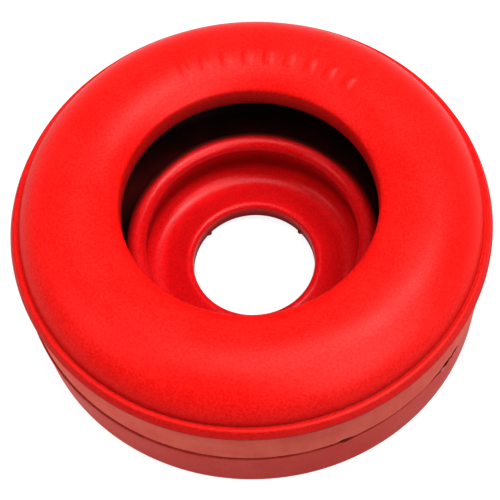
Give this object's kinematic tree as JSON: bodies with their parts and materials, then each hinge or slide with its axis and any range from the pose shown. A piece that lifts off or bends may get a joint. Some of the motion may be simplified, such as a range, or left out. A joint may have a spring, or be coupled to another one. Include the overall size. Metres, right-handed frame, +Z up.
{
  "type": "rubber coupling seal",
  "caption": "Hollow red rubber coupling seal: a domed lip ring over a stepped cup with a through hole, moulded in halves and cemented at mid-wall.",
  "frame": {"origin": "centre of the foot's flat face, on the axis", "axes": "+Z up the axis, from the foot to the crown; the raised marks stand around +Y"},
  "size_m": [0.041, 0.041, 0.0149],
  "materials": {
    "crown_rubber": "satin bright red moulded rubber, dusty and matte on the side wall",
    "cup_rubber": "satin crimson moulded rubber inside, dusty and matte on the side wall",
    "cement": "dark cured rubber cement"
  },
  "bodies": {
    "root": {"upper_moulding": "crown_rubber", "cement_film": "cement", "lower_moulding": "cup_rubber"}
  },
  "joints": []
}
